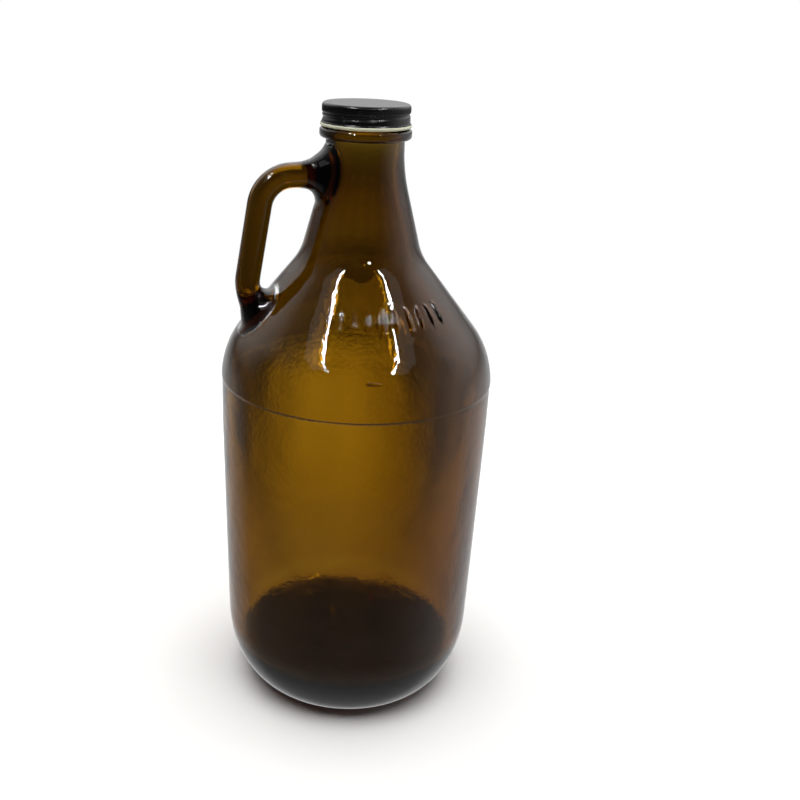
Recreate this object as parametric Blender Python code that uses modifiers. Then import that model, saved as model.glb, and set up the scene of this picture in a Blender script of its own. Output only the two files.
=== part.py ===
"""A glass growler with a loop handle and a screw cap, in metres with +Z up.

The origin is the centre of the base, on the surface that the bottle stands on. The handle is
towards -X. The cap is screwed down, with its turning axis on the bottle's own axis.
"""

import math

import bmesh
import bpy
from mathutils import Vector

MM = 0.001
OBJECT_NAME = "growler"

# How finely round shapes are cut up
SIDES = 48
ARC_STEP = math.radians(13)
HEEL_STEPS = 7
DOME_STEPS = 3
TUBE_RESOLUTION = 4
THREAD_SIDES_PER_TURN = 36
MERGE_DISTANCE = 0.01 * MM

# Clearance between two pieces that touch on the real bottle
GAP = 0.3 * MM

# Cap: a drawn and rolled tinplate shell
CAP_TOP = 270 * MM
CAP_BOTTOM = 260.6 * MM
CAP_RADIUS = 18.3 * MM
CAP_CORNER = 2.3 * MM
CAP_SHEET = 0.55 * MM
CAP_CURL_RADIUS = 18.95 * MM
CAP_CURL_HEIGHT = 1.5 * MM
CAP_CURL_BEVEL = 0.35 * MM
CAP_CURL_UNDERSIDE = 0.5 * MM

# Liner: a pulpboard backing disc and the facing film that seals on the lip
LINER_RADIUS = 16.7 * MM
BACKING_THICKNESS = 0.6 * MM
FACING_THICKNESS = 0.35 * MM
BACKING_TOP = CAP_TOP - CAP_SHEET - GAP
FACING_TOP = BACKING_TOP - BACKING_THICKNESS - GAP

# Finish: the threaded mouth that the cap screws onto, and the bead below it
LIP_TOP = FACING_TOP - FACING_THICKNESS - GAP
LIP_ROUND = 0.8 * MM
FINISH_RADIUS = 16.2 * MM
BORE_RADIUS = 13.4 * MM
BEAD_TOP = 260.2 * MM
BEAD_BOTTOM = 256.0 * MM
BEAD_RADIUS = 19.15 * MM
BEAD_ROUND = 1.5 * MM

# Screw thread: right-handed, six turns to the inch
THREAD_PITCH = 25.4 / 6 * MM
GLASS_THREAD_RADIUS = 17.25 * MM
GLASS_THREAD_WIDTH = 2.0 * MM
GLASS_THREAD_START = math.radians(178)
GLASS_THREAD_TURNS = 1.0
GLASS_THREAD_LOW = 262.0 * MM
THREAD_ROOT_DEPTH = 0.5 * MM
THREAD_ROOT_EXTRA_WIDTH = 1.0 * MM
THREAD_RAMP_STEPS = 3
CAP_THREAD_RADIUS = 16.7 * MM
CAP_THREAD_WIDTH = 1.7 * MM
CAP_THREAD_START = math.radians(60)
CAP_THREAD_TURNS = 0.95
CAP_GROOVE_DEPTH = 0.35 * MM
CAP_GROOVE_CLEARANCE = 0.4 * MM
CAP_GROOVE_EXTRA_WIDTH = 0.6 * MM

# Bottle outline from under the bead to the top of the heel: radius, height, rounding radius
BODY_CORNERS = (
    (16.35 * MM, 255.4 * MM, 0),
    (16.4 * MM, 243.8 * MM, 70 * MM),
    (26.2 * MM, 207.4 * MM, 25 * MM),
    (60.3 * MM, 164.8 * MM, 38 * MM),
    (60.1 * MM, 132 * MM, 1500 * MM),
    (57.65 * MM, 36.3 * MM, 0),
)
NECK_WALL = BODY_CORNERS[0][0] - BORE_RADIUS
BODY_WALL = 4.7 * MM
HEEL_WIDTH = 20.8 * MM
HEEL_HEIGHT = BODY_CORNERS[-1][1]

# Base: a flat ring to stand on around a shallow dome, under a heavy floor with its own heel
STAND_RING_WIDTH = 3.5 * MM
DOME_RISE = 4.5 * MM
FLOOR_HEIGHT = 16.0 * MM
FLOOR_RISE = 1.5 * MM
INSIDE_HEEL_WIDTH = 9.0 * MM
INSIDE_HEEL_HEIGHT = 12.0 * MM
INSIDE_TAPER = 0.5 * MM

# Loop handle: the line of its centre in the XZ plane, from the neck to the shoulder
HANDLE_RADIUS = 5.25 * MM
HANDLE_CORNERS = (
    (-9.0 * MM, 241.6 * MM, 0),
    (-42.2 * MM, 240.4 * MM, 14 * MM),
    (-49.8 * MM, 193.5 * MM, 14 * MM),
    (-37.0 * MM, 172.5 * MM, 0),
)
HANDLE_SPACING = 3.2 * MM
FLARE_LENGTH = 11.0 * MM
FLARE_AT_NECK = 1.7
FLARE_AT_SHOULDER = 1.6
NECK_END_DEPTH = 7.4 * MM
SHOULDER_END_DEPTH = 13.0 * MM

GLASS = ("amber_glass", (0.20, 0.085, 0.012), 0.04, 0.0)
BLACK_TINPLATE = ("black_lacquered_tinplate", (0.012, 0.012, 0.013), 0.28, 0.6)
PULPBOARD = ("pulpboard", (0.55, 0.50, 0.42), 0.9, 0.0)
SEAL_FILM = ("white_seal_film", (0.82, 0.82, 0.80), 0.4, 0.0)


def clear_scene():
    for thing in list(bpy.data.objects):
        bpy.data.objects.remove(thing, do_unlink=True)


def new_collection(name):
    collection = bpy.data.collections.new(name)
    bpy.context.scene.collection.children.link(collection)
    return collection


def new_material(name, colour, roughness, metallic):
    material = bpy.data.materials.new(name)
    material.use_nodes = True
    shader = material.node_tree.nodes["Principled BSDF"]
    shader.inputs["Base Color"].default_value = (*colour, 1)
    shader.inputs["Roughness"].default_value = roughness
    shader.inputs["Metallic"].default_value = metallic
    material.diffuse_color = (*colour, 1)
    return material


def arc(centre, radii, start, end, steps):
    """Points on an ellipse about centre, from the start angle to the end angle."""
    return [
        Vector(
            (
                centre[0] + radii[0] * math.cos(start + (end - start) * i / steps),
                centre[1] + radii[1] * math.sin(start + (end - start) * i / steps),
            )
        )
        for i in range(steps + 1)
    ]


def rounded(corners):
    """The line through corners (x, z, radius), each inner one rounded to its own radius."""
    points = [Vector(corners[0][:2])]
    for before, (x, z, radius), after in zip(corners, corners[1:], corners[2:]):
        corner = Vector((x, z))
        if not radius:
            points.append(corner)
            continue
        back = (Vector(before[:2]) - corner).normalized()
        ahead = (Vector(after[:2]) - corner).normalized()
        half = back.angle(ahead) / 2
        centre = corner + (back + ahead).normalized() * radius / math.sin(half)
        first = corner + back * radius / math.tan(half) - centre
        side = 1 if back.x * ahead.y - back.y * ahead.x < 0 else -1
        turn = side * (math.pi - 2 * half)
        steps = max(1, round(abs(turn) / ARC_STEP))
        start = math.atan2(first.y, first.x)
        points += arc(centre, (radius, radius), start, start + turn, steps)
    points.append(Vector(corners[-1][:2]))
    return points


def inset(corners, walls):
    """Corners moved inwards: walls holds the thickness under each straight stretch."""
    lines = []
    for (x0, z0, _), (x1, z1, _), wall in zip(corners, corners[1:], walls):
        along = Vector((x1 - x0, z1 - z0)).normalized()
        inward = Vector((along.y, -along.x))
        lines.append((Vector((x0, z0)) + inward * wall, along))
    moved = [(*lines[0][0], 0)]
    for (point, along), (other, beside), corner in zip(lines, lines[1:], corners[1:]):
        across = along.x * beside.y - along.y * beside.x
        apart = other - point
        distance = (apart.x * beside.y - apart.y * beside.x) / across
        radius = corner[2] + math.copysign(BODY_WALL, across)
        moved.append((*(point + along * distance), radius))
    last = Vector(corners[-1][:2]) + Vector((lines[-1][1].y, -lines[-1][1].x)) * walls[-1]
    moved.append((*last, 0))
    return moved


def turned(name, outline, collection):
    """A solid of revolution about Z. The outline runs down its outer side."""
    mesh = bpy.data.meshes.new(name)
    shape = bmesh.new()
    corners = [shape.verts.new((point[0], 0, point[1])) for point in outline]
    for first, second in zip(corners, corners[1:]):
        shape.edges.new((first, second))
    shape.to_mesh(mesh)
    shape.free()
    solid = bpy.data.objects.new(name, mesh)
    collection.objects.link(solid)
    screw = solid.modifiers.new("turn", "SCREW")
    screw.axis = "Z"
    screw.steps = screw.render_steps = SIDES
    screw.use_merge_vertices = True
    screw.merge_threshold = MERGE_DISTANCE
    screw.use_smooth_shade = True
    return solid


def swept(name, path, radius, collection, flares=None):
    """A closed round tube along path, with its radius scaled by flares at each point."""
    curve = bpy.data.curves.new(name, "CURVE")
    curve.dimensions = "3D"
    curve.bevel_depth = radius
    curve.bevel_resolution = TUBE_RESOLUTION
    curve.use_fill_caps = True
    spline = curve.splines.new("POLY")
    spline.points.add(len(path) - 1)
    for point, place, flare in zip(spline.points, path, flares or [1] * len(path)):
        point.co = (*place, 1)
        point.radius = flare
    tube = bpy.data.objects.new(name, curve)
    collection.objects.link(tube)
    bpy.context.view_layer.update()
    graph = bpy.context.evaluated_depsgraph_get()
    mesh = bpy.data.meshes.new_from_object(tube.evaluated_get(graph))
    shape = bmesh.new()
    shape.from_mesh(mesh)
    bmesh.ops.remove_doubles(shape, verts=shape.verts, dist=MERGE_DISTANCE)
    bmesh.ops.recalc_face_normals(shape, faces=shape.faces)
    shape.to_mesh(mesh)
    shape.free()
    solid = bpy.data.objects.new(name + "_solid", mesh)
    solid.matrix_world = tube.matrix_world
    collection.objects.link(solid)
    bpy.data.objects.remove(tube, do_unlink=True)
    return solid


def helix_ridge(name, crest, root, width, start, turns, low, collection):
    """A closed ridge wound about Z as a right-hand thread.

    Its section is a trapezium with its narrow side at the crest radius, buried at the root
    radius, and both ends run out to nothing in a short ramp.
    """
    steps = round(THREAD_SIDES_PER_TURN * turns)
    mesh = bpy.data.meshes.new(name)
    shape = bmesh.new()
    rings = []
    for i in range(steps + 1):
        angle = start + math.tau * turns * i / steps
        height = low + THREAD_PITCH * turns * i / steps
        ramp = min(1, (min(i, steps - i) + 0.5) / THREAD_RAMP_STEPS)
        tip = root + (crest - root) * ramp
        section = (
            (root, -width / 2),
            (tip, -width / 4 * ramp),
            (tip, width / 4 * ramp),
            (root, width / 2),
        )
        rings.append(
            [
                shape.verts.new((r * math.cos(angle), r * math.sin(angle), height + rise))
                for r, rise in section
            ]
        )
    for ring, following in zip(rings, rings[1:]):
        for k in range(len(ring)):
            after = (k + 1) % len(ring)
            shape.faces.new((ring[k], ring[after], following[after], following[k]))
    shape.faces.new(rings[0])
    shape.faces.new(list(reversed(rings[-1])))
    bmesh.ops.recalc_face_normals(shape, faces=shape.faces)
    shape.to_mesh(mesh)
    shape.free()
    solid = bpy.data.objects.new(name, mesh)
    collection.objects.link(solid)
    return solid


def boolean(target, helper, operation):
    cut = target.modifiers.new(helper.name, "BOOLEAN")
    cut.operation = operation
    cut.solver = "EXACT"
    cut.object = helper
    helper.hide_render = True
    helper.display_type = "WIRE"


def finish(solid, material, sharp_degrees=35):
    """Gives a piece its material, and sharp edges where its faces meet at a steep angle."""
    solid.data.materials.append(new_material(*material))
    solid.data.shade_smooth()
    solid.data.set_sharp_from_angle(angle=math.radians(sharp_degrees))


def bottle_outline():
    """The outside of the bottle as a solid, from the axis at the lip to the axis at the base."""
    finish_and_bead = [
        (0, LIP_TOP, 0),
        (FINISH_RADIUS, LIP_TOP, LIP_ROUND),
        (FINISH_RADIUS, BEAD_TOP, 0),
        (BEAD_RADIUS, BEAD_TOP, BEAD_ROUND),
        (BEAD_RADIUS, BEAD_BOTTOM, BEAD_ROUND),
    ]
    sides = rounded(finish_and_bead + list(BODY_CORNERS))
    heel_radius, heel_top, _ = BODY_CORNERS[-1]
    stand_radius = heel_radius - HEEL_WIDTH
    heel = arc(
        (stand_radius, heel_top), (HEEL_WIDTH, HEEL_HEIGHT), 0, -math.pi / 2, HEEL_STEPS
    )
    return sides[:-1] + heel + dome(stand_radius - STAND_RING_WIDTH, 0, DOME_RISE)


def dome(radius, height, rise):
    """A shallow round dome in section, from its rim in to the axis."""
    sphere = (radius**2 + rise**2) / (2 * rise)
    half_angle = math.asin(radius / sphere)
    centre = (0, height + rise - sphere)
    points = arc(centre, (sphere, sphere), math.pi / 2 - half_angle, math.pi / 2, DOME_STEPS)
    points[-1].x = 0
    return points


def cavity_outline():
    """The space inside the bottle, from above the lip down to the floor."""
    walls = [NECK_WALL] + [BODY_WALL] * (len(BODY_CORNERS) - 2)
    mouth = [
        (0, CAP_TOP, 0),
        (BORE_RADIUS + LIP_ROUND, CAP_TOP, 0),
        (BORE_RADIUS + LIP_ROUND, LIP_TOP + GAP, 0),
        (BORE_RADIUS, LIP_TOP - LIP_ROUND, 0),
    ]
    sides = rounded(mouth + inset(BODY_CORNERS, walls)[1:])
    centre = (
        sides[-1].x - INSIDE_TAPER - INSIDE_HEEL_WIDTH,
        FLOOR_HEIGHT + INSIDE_HEEL_HEIGHT,
    )
    radii = (INSIDE_HEEL_WIDTH, INSIDE_HEEL_HEIGHT)
    heel = arc(centre, radii, 0, -math.pi / 2, HEEL_STEPS)
    return sides + heel[:-1] + dome(centre[0], FLOOR_HEIGHT, FLOOR_RISE)


def handle_path():
    """Evenly spaced points along the handle's centre line, and how far it flares at each."""
    line = [Vector((x, 0, z)) for x, z in rounded(HANDLE_CORNERS)]
    lengths = [0.0]
    for first, second in zip(line, line[1:]):
        lengths.append(lengths[-1] + (second - first).length)
    total = lengths[-1]
    count = round(total / HANDLE_SPACING)
    path, flares = [], []
    for i in range(count + 1):
        along = total * i / count
        k = max(j for j in range(len(line) - 1) if lengths[j] <= along)
        share = (along - lengths[k]) / (lengths[k + 1] - lengths[k])
        path.append(line[k].lerp(line[k + 1], share))
        near_neck = max(0, 1 - max(0, along - NECK_END_DEPTH) / FLARE_LENGTH)
        to_end = total - along
        near_shoulder = max(0, 1 - max(0, to_end - SHOULDER_END_DEPTH) / FLARE_LENGTH)
        flare = 1 + (FLARE_AT_NECK - 1) * near_neck**2
        flares.append(flare + (FLARE_AT_SHOULDER - 1) * near_shoulder**2)
    return path, flares


def glass_bottle(parts, helpers):
    """Body, neck, threaded finish and handle are one piece of blown glass."""
    bottle = turned("glass_bottle", bottle_outline(), parts)
    path, flares = handle_path()
    boolean(bottle, swept("handle", path, HANDLE_RADIUS, helpers, flares), "UNION")
    thread = helix_ridge(
        "glass_thread",
        GLASS_THREAD_RADIUS,
        FINISH_RADIUS - THREAD_ROOT_DEPTH,
        GLASS_THREAD_WIDTH + THREAD_ROOT_EXTRA_WIDTH,
        GLASS_THREAD_START,
        GLASS_THREAD_TURNS,
        GLASS_THREAD_LOW,
        helpers,
    )
    boolean(bottle, thread, "UNION")
    boolean(bottle, turned("bottle_inside", cavity_outline(), helpers), "DIFFERENCE")
    finish(bottle, GLASS)
    return bottle


def cap_outline():
    """The cap's wall in section: down the outside, round the curled rim and up the inside."""
    inner = CAP_RADIUS - CAP_SHEET
    curl_top = CAP_BOTTOM + CAP_CURL_HEIGHT
    corners = [
        (0, CAP_TOP, 0),
        (CAP_RADIUS, CAP_TOP, CAP_CORNER),
        (CAP_RADIUS, curl_top, 0),
        (CAP_CURL_RADIUS, curl_top - CAP_CURL_BEVEL, 0),
        (CAP_CURL_RADIUS, CAP_BOTTOM + CAP_CURL_BEVEL, 0),
        (CAP_CURL_RADIUS - CAP_CURL_UNDERSIDE, CAP_BOTTOM, 0),
        (inner, CAP_BOTTOM, 0),
        (inner, CAP_TOP - CAP_SHEET, CAP_CORNER - CAP_SHEET),
        (0, CAP_TOP - CAP_SHEET, 0),
    ]
    return rounded(corners)


def cap_shell(parts, helpers):
    """A drawn tinplate cap. Its thread is rolled in, so the ridge inside is a groove outside."""
    cap = turned("cap_shell", cap_outline(), parts)
    half_pitch_up = GLASS_THREAD_LOW - THREAD_PITCH / 2
    low = half_pitch_up + THREAD_PITCH * (
        1 + (CAP_THREAD_START - GLASS_THREAD_START) / math.tau
    )
    ridge = helix_ridge(
        "cap_thread",
        CAP_THREAD_RADIUS,
        CAP_RADIUS - CAP_SHEET / 2,
        CAP_THREAD_WIDTH,
        CAP_THREAD_START,
        CAP_THREAD_TURNS,
        low,
        helpers,
    )
    boolean(cap, ridge, "UNION")
    groove = helix_ridge(
        "cap_groove",
        CAP_RADIUS - CAP_GROOVE_DEPTH,
        CAP_RADIUS + CAP_GROOVE_CLEARANCE,
        CAP_THREAD_WIDTH + CAP_GROOVE_EXTRA_WIDTH,
        CAP_THREAD_START,
        CAP_THREAD_TURNS,
        low,
        helpers,
    )
    boolean(cap, groove, "DIFFERENCE")
    finish(cap, BLACK_TINPLATE)
    return cap


def liner_disc(name, top, thickness, material, parts):
    """A flat round disc under the cap's top."""
    outline = [(0, top), (LINER_RADIUS, top), (LINER_RADIUS, top - thickness), (0, top - thickness)]
    disc = turned(name, outline, parts)
    finish(disc, material)
    return disc


def main():
    clear_scene()
    parts = new_collection(OBJECT_NAME)
    helpers = new_collection(OBJECT_NAME + "_helpers")
    glass_bottle(parts, helpers)
    cap = bpy.data.objects.new("cap_axis", None)
    parts.objects.link(cap)
    pieces = [
        cap_shell(parts, helpers),
        liner_disc("liner_backing", BACKING_TOP, BACKING_THICKNESS, PULPBOARD, parts),
        liner_disc("liner_facing", FACING_TOP, FACING_THICKNESS, SEAL_FILM, parts),
    ]
    for piece in pieces:
        piece.parent = cap


main()
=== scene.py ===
# %% [markdown]
# # A glass growler, from frame to finish
#
# A growler is a half-gallon glass jug that a brewery fills for its customers. This lesson dresses
# the bare model of one: the frame gives where each piece is, and each cell below adds one piece
# or one finish. The bottle is amber soda-lime glass, the cap is lacquered tinplate.

# %% Load the frame
import math

import bmesh
import bpy
import numpy as np
from mathutils import Matrix, Vector, noise


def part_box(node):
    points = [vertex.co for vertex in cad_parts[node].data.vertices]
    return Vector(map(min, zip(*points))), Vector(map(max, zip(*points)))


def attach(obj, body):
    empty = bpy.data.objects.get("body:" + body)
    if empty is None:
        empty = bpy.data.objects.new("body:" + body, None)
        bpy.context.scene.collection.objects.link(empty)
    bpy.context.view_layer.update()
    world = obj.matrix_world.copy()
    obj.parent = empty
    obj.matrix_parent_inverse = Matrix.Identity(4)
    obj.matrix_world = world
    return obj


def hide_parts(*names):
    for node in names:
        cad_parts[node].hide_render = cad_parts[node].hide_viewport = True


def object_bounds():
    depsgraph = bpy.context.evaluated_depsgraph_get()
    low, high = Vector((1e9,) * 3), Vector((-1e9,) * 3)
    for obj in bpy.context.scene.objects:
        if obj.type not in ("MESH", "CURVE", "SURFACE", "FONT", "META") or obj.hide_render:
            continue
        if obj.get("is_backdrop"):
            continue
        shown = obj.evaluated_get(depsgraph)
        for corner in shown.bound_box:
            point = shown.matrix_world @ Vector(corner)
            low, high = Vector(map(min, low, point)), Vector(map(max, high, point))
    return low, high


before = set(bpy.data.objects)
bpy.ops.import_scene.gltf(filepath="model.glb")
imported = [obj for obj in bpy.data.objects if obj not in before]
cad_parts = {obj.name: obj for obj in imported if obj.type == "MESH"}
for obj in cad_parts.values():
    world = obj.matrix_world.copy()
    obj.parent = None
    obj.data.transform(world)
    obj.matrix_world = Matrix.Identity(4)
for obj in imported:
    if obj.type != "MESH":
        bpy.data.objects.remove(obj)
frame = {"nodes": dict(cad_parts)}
frame_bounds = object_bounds()
MM = 0.001
cap_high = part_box("cap_shell")[1]
print("frame nodes:", ", ".join(frame["nodes"]))
print("overall height, mm:", round(cap_high.z / MM, 1))

# %% [markdown]
# ## Two helpers for materials
#
# Paint and glass colours are easiest to read as the hex values of a colour picker, but a shader
# works in linear light, so one function turns one into the other. A second small function adds a
# node and fills in its settings and links, which keeps every material below down to a short list.


# %% Colour and node helpers
def linear(hex_colour):
    """An sRGB hex colour, such as "8a5a14", as linear red, green, blue and alpha."""
    values = [int(hex_colour[i : i + 2], 16) / 255 for i in (0, 2, 4)]
    return [v / 12.92 if v <= 0.04045 else ((v + 0.055) / 1.055) ** 2.4 for v in values] + [1]


def add_node(tree, kind, inputs=None, **settings):
    """A new node. Each input is given a value, or an output socket to be linked from."""
    node = tree.nodes.new(kind)
    for name, value in settings.items():
        setattr(node, name, value)
    for name, value in (inputs or {}).items():
        if isinstance(value, bpy.types.NodeSocket):
            tree.links.new(value, node.inputs[name])
        else:
            node.inputs[name].default_value = value
    return node


def new_material(name):
    """A material with an empty node tree and its output node."""
    material = bpy.data.materials.new(name)
    material.use_nodes = True
    material.node_tree.nodes.clear()
    return material, material.node_tree, add_node(material.node_tree, "ShaderNodeOutputMaterial")


# %% [markdown]
# ## The camera
#
# The bottle is seen from a little above, with the handle turned about fifteen degrees towards
# the viewer. The camera leans by two degrees, as a hand-held one does. Setting the camera from
# distances and angles, and not by eye, keeps the perspective true: a near camera makes the base
# look narrower than the shoulder.

# %% Camera
CAMERA_DISTANCE = 0.46717
CAMERA_RISE = math.radians(22.08)
CAMERA_TURN = math.radians(-15)
CAMERA_LEAN = math.radians(2.2616)
CAMERA_LENS = 45.997
CAMERA_SHIFT = (0.05653, 0.01149)
AIM_HEIGHT = 0.135


def standing_camera():
    """A camera aimed at the middle of the bottle's axis, turned, raised and leaning."""
    away = Matrix.Rotation(CAMERA_TURN, 3, "Z") @ Vector(
        (0, -math.cos(CAMERA_RISE), math.sin(CAMERA_RISE))
    )
    right = Matrix.Rotation(CAMERA_TURN, 3, "Z") @ Vector((1, 0, 0))
    up = away.cross(right)
    across = right * math.cos(CAMERA_LEAN) + up * math.sin(CAMERA_LEAN)
    along = up * math.cos(CAMERA_LEAN) - right * math.sin(CAMERA_LEAN)
    data = bpy.data.cameras.new("camera")
    data.sensor_width = 36
    data.lens = CAMERA_LENS
    data.shift_x, data.shift_y = CAMERA_SHIFT
    data.clip_start = 0.01
    camera = bpy.data.objects.new("camera", data)
    bpy.context.scene.collection.objects.link(camera)
    turn = Matrix((across, along, away)).transposed()
    camera.matrix_world = Matrix.LocRotScale(
        Vector((0, 0, AIM_HEIGHT)) + away * CAMERA_DISTANCE, turn, None
    )
    bpy.context.scene.camera = camera
    return camera


print("camera at, mm:", [round(v / MM) for v in standing_camera().location])

# %% [markdown]
# ## The table and the studio
#
# Clear glass has almost no look of its own: it shows what is around it, bent and tinted. So the
# studio is part of the material. The bottle stands on a pale table, with wide soft light from
# both sides, little light from the front, and two narrow lamps overhead that put the long
# highlights on the shoulder. The soft light is painted on the world as brightness by direction,
# from a short table of ramps, which renders without grain.

# %% The pale table top
TABLE_RADIUS = 0.62
TABLE_FADE = (0.46, 0.58)
RIM_SIDES = 96


def table_top():
    """A round sheet under the bottle that fades out towards its rim."""
    shape = bmesh.new()
    bmesh.ops.create_circle(shape, cap_ends=True, segments=RIM_SIDES, radius=TABLE_RADIUS)
    mesh = bpy.data.meshes.new("table_top")
    shape.to_mesh(mesh)
    shape.free()
    table = bpy.data.objects.new("table_top", mesh)
    bpy.context.scene.collection.objects.link(table)
    material, tree, output = new_material("matt_paper_sweep")
    place = add_node(tree, "ShaderNodeTexCoord")
    distance = add_node(
        tree, "ShaderNodeVectorMath", {"Vector": place.outputs["Object"]}, operation="LENGTH"
    )
    fade = add_node(
        tree,
        "ShaderNodeMapRange",
        {
            "Value": distance.outputs["Value"],
            "From Min": TABLE_FADE[0],
            "From Max": TABLE_FADE[1],
        },
        interpolation_type="SMOOTHSTEP",
    )
    paper = add_node(
        tree, "ShaderNodeBsdfDiffuse", {"Color": linear("f4f3f1"), "Roughness": 0.4}
    )
    clear = add_node(tree, "ShaderNodeBsdfTransparent")
    mixed = add_node(tree, "ShaderNodeMixShader", {"Fac": fade.outputs["Result"]})
    tree.links.new(paper.outputs["BSDF"], mixed.inputs[1])
    tree.links.new(clear.outputs["BSDF"], mixed.inputs[2])
    tree.links.new(mixed.outputs["Shader"], output.inputs["Surface"])
    mesh.materials.append(material)
    table.visible_glossy = False
    table.visible_transmission = False
    table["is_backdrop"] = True
    return table


table_top()
print("table top, mm across:", round(2 * TABLE_RADIUS / MM))

# %% [markdown]
# ## Cards that only the glass sees
#
# A bottle is lit with a pale card behind the glass, cut narrow, so that the middle glows and the
# edges go dark and give the bottle its outline. Here eight soft glowing beams lie on the table
# like spokes, so that the bottle glows from every side. The camera doesn't see them: only light
# that has come through glass does.

# %% Ring of graded cards
CARD_REACH = (0.40, 0.56)
CARD_EDGE = (0.005, 0.115)
CARD_DIM, CARD_GLOW = 0.12, 0.96
CARD_LIFT = 0.1 * MM
# Under the bottle the glow drops to a small share: painted shade where the bottle's shadow falls
UNDER_BOTTLE, PAINTED_SHADOW_SHARE = (0.060, 0.072), 0.045
CARD_NEAR, NEAR_SHARE = (0.08, 0.30), 0.70
CARD_COUNT = 8
CARD_TURN = math.radians(2.5)


def graded_cards():
    """A glowing ring on the table, brighter in eight directions and faded out far away, with a painted
    shadow: the glow is dimmed under the bottle.
    """
    shape = bmesh.new()
    bmesh.ops.create_circle(shape, cap_ends=True, segments=RIM_SIDES, radius=TABLE_RADIUS)
    mesh = bpy.data.meshes.new("graded_cards")
    shape.to_mesh(mesh)
    shape.free()
    cards = bpy.data.objects.new("graded_cards", mesh)
    cards.location.z = CARD_LIFT
    cards.rotation_euler.z = CAMERA_TURN + CARD_TURN
    bpy.context.scene.collection.objects.link(cards)
    material, tree, output = new_material("glowing_card")
    place = add_node(tree, "ShaderNodeTexCoord")
    flat = add_node(tree, "ShaderNodeSeparateXYZ", {"Vector": place.outputs["Object"]})
    distance = add_node(
        tree, "ShaderNodeVectorMath", {"Vector": place.outputs["Object"]}, operation="LENGTH"
    )
    angle = add_node(
        tree, "ShaderNodeMath", {0: flat.outputs["X"], 1: flat.outputs["Y"]}, operation="ARCTAN2"
    )
    off_beam = add_node(
        tree,
        "ShaderNodeMath",
        {0: angle.outputs[0], 1: math.pi / CARD_COUNT},
        operation="PINGPONG",
    )
    sine = add_node(tree, "ShaderNodeMath", {0: off_beam.outputs[0]}, operation="SINE")
    aside = add_node(
        tree,
        "ShaderNodeMath",
        {0: sine.outputs[0], 1: distance.outputs["Value"]},
        operation="MULTIPLY",
    )
    glow = None
    for value, (low, high, at_low, at_high) in (
        (aside.outputs[0], (*CARD_EDGE, CARD_GLOW, CARD_DIM)),
        (distance.outputs["Value"], (*UNDER_BOTTLE, PAINTED_SHADOW_SHARE, 1.0)),
        (distance.outputs["Value"], (*CARD_NEAR, NEAR_SHARE, 1.0)),
    ):
        ramp = add_node(
            tree,
            "ShaderNodeMapRange",
            {
                "Value": value,
                "From Min": low,
                "From Max": high,
                "To Min": at_low,
                "To Max": at_high,
            },
            interpolation_type="SMOOTHSTEP",
        )
        factors = {0: ramp.outputs["Result"], 1: glow.outputs[0] if glow else 1.0}
        glow = add_node(tree, "ShaderNodeMath", factors, operation="MULTIPLY")
    fade = add_node(
        tree,
        "ShaderNodeMapRange",
        {
            "Value": distance.outputs["Value"],
            "From Min": CARD_REACH[0],
            "From Max": CARD_REACH[1],
        },
        interpolation_type="SMOOTHSTEP",
    )
    light = add_node(
        tree, "ShaderNodeEmission", {"Color": linear("ffffff"), "Strength": glow.outputs[0]}
    )
    clear = add_node(tree, "ShaderNodeBsdfTransparent")
    mixed = add_node(tree, "ShaderNodeMixShader", {"Fac": fade.outputs["Result"]})
    tree.links.new(light.outputs[0], mixed.inputs[1])
    tree.links.new(clear.outputs[0], mixed.inputs[2])
    tree.links.new(mixed.outputs[0], output.inputs["Surface"])
    mesh.materials.append(material)
    cards.visible_camera = False
    cards.visible_diffuse = False
    cards.visible_glossy = False
    cards.visible_shadow = False
    cards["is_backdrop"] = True


graded_cards()
print("beams under and round the bottle:", CARD_COUNT)

# %% Soft light all round, as brightness by direction
BACKDROP = "ffffff"
DIM = 0.02
SIDE_NARROWING = 4.0
# Each soft light is a product of ramps: what it follows, from, to, and its value at each end
STUDIO_LIGHTS = {
    "right side": (("right", 0, 1, 0, 1), ("away", -1, 1, 0, 1), ("up", 0, 1, 1.15, 1.5)),
    "left side": (
        ("left", 0, 1, 0, 1),
        ("away", -1, 1, 0, 1),
        ("up", 0, 1, 1.15, 1.5),
        ("up", 0.4, 0.85, 0.1, 1),
    ),
    "wall behind": (("away", 0, 1, 0, 0.12),),
    "foot of the wall": (("away", 0.8, 1, 0, 1), ("up", -0.28, -0.10, 0, 0.16)),
    "ceiling behind, in the shine": (
        ("away", 0, 1, 0, 1),
        ("up", 0, 1, 0, 3.6),
        ("shine", 0, 1, 0, 1),
    ),
    "table behind, in the shine": (
        ("away", 0.2, 0.8, 0, 0.55),
        ("up", -0.2, 0, 1, 0),
        ("shine", 0, 1, 0, 1),
    ),
    "table in front": (("up", -1, -0.45, 0.41, 0),),
}


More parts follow.
